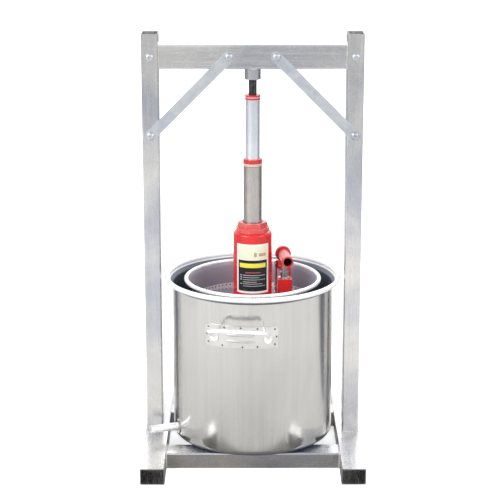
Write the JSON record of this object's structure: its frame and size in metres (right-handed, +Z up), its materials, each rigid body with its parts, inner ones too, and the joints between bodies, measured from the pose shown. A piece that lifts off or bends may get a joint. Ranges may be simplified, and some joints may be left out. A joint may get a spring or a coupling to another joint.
{
  "type": "fruit press",
  "caption": "Hydraulic fruit press: bolted tube frame over a steel stock pot with a perforated basket, press plate and telescopic bottle jack.",
  "frame": {"origin": "on the floor, under the jack's axis, in the middle of the frame's feet", "axes": "+Z up, -Y towards the front handle and the mouth of the pump lever, +X to the right"},
  "size_m": [0.458, 0.46, 0.885],
  "materials": {
    "frame_steel": "satin drawn tube",
    "zinc_plate": "dull zinc",
    "pot_steel": "fine brushed, polished rim",
    "basket_steel": "bright perforated sheet",
    "red_paint": "gloss enamel",
    "label_film": "printed film",
    "chrome_ram": "hard chrome",
    "ground_steel": "ground and oiled",
    "black_screw": "black oxide",
    "seal_rubber": "matt"
  },
  "bodies": {
    "frame": {"left_foot": "frame_steel", "right_foot": "frame_steel", "front_rail": "frame_steel", "rear_rail": "frame_steel", "left_post": "frame_steel", "right_post": "frame_steel", "top_beam": "frame_steel", "ram_cup": "frame_steel", "left_brace": "zinc_plate", "right_brace": "zinc_plate", "beam_bolts": "zinc_plate", "brace_lower_bolts": "zinc_plate", "brace_upper_bolts": "zinc_plate", "bolt_washers": "zinc_plate", "bolt_nuts": "zinc_plate"},
    "pot": {"pot_shell": "pot_steel", "spout_pipe": "pot_steel", "spout_flange": "pot_steel", "basket_wall": "basket_steel", "basket_floor": "basket_steel", "basket_feet": "basket_steel", "front_handle_plate": "pot_steel", "front_handle": "pot_steel", "rear_handle_plate": "pot_steel", "rear_handle": "pot_steel"},
    "press_head": {"press_plate": "basket_steel", "jack_guides": "basket_steel", "jack_base": "red_paint", "reservoir_tube": "red_paint", "filler_plug": "seal_rubber", "pressure_cylinder": "ground_steel", "cylinder_gasket": "seal_rubber", "top_nut": "red_paint", "nut_wiper": "seal_rubber", "jack_label": "label_film", "pump_sleeve": "ground_steel", "pump_seal": "seal_rubber", "lever_links": "red_paint", "fulcrum_pin": "ground_steel", "link_foot_pin": "ground_steel", "valve_plugs": "ground_steel", "valve_balls": "ground_steel", "delivery_spring": "ground_steel"},
    "lower_ram": {"lower_ram": "ground_steel", "lower_ram_seal": "seal_rubber", "lower_ram_collar": "red_paint"},
    "upper_ram": {"upper_ram": "chrome_ram", "upper_ram_seal": "seal_rubber", "upper_ram_ring": "red_paint"},
    "screw": {"extension_screw": "black_screw"},
    "plunger": {"pump_plunger": "chrome_ram", "plunger_pin": "ground_steel"},
    "lever": {"lever_socket": "red_paint"},
    "release_valve": {"release_valve": "red_paint"}
  },
  "joints": [
    {"name": "press_stroke", "type": "slide", "parent": "frame", "child": "press_head", "axis": [0, 0, 1], "range_m": [0, 0.234]},
    {"name": "lower_ram_slide", "type": "slide", "parent": "press_head", "child": "lower_ram", "axis": [0, 0, 1], "range_m": [-0.117, 0]},
    {"name": "upper_ram_slide", "type": "slide", "parent": "lower_ram", "child": "upper_ram", "axis": [0, 0, 1], "range_m": [-0.117, 0]},
    {"name": "screw_adjust", "type": "slide", "parent": "upper_ram", "child": "screw", "axis": [0, 0, 1], "range_m": [-0.036, 0]},
    {"name": "lever_swing", "type": "hinge", "parent": "press_head", "child": "lever", "pos_m": [0.06406, 0.02802, 0.394], "axis": [0.9925, 0.1219, 0], "range_deg": [-30, 20]},
    {"name": "plunger_slide", "type": "slide", "parent": "press_head", "child": "plunger", "axis": [0, 0, 1], "range_m": [-0.0075, 0.0112]},
    {"name": "release_turn", "type": "hinge", "parent": "press_head", "child": "release_valve", "pos_m": [0.06135, -0.00733, 0.32], "axis": [0.1219, -0.9925, 0], "range_deg": [0, 180]},
    {"name": "pot_turn", "type": "hinge", "parent": "frame", "child": "pot", "pos_m": [0, 0, 0.0343], "axis": [0, 0, 1], "range_deg": [-8, 70]}
  ],
  "couplings": [
    {"joint": "lower_ram_slide", "follows": "press_stroke", "ratio": -0.5},
    {"joint": "upper_ram_slide", "follows": "press_stroke", "ratio": -0.5},
    {"joint": "plunger_slide", "follows": "lever_swing", "m_per_rad": -0.0208}
  ]
}
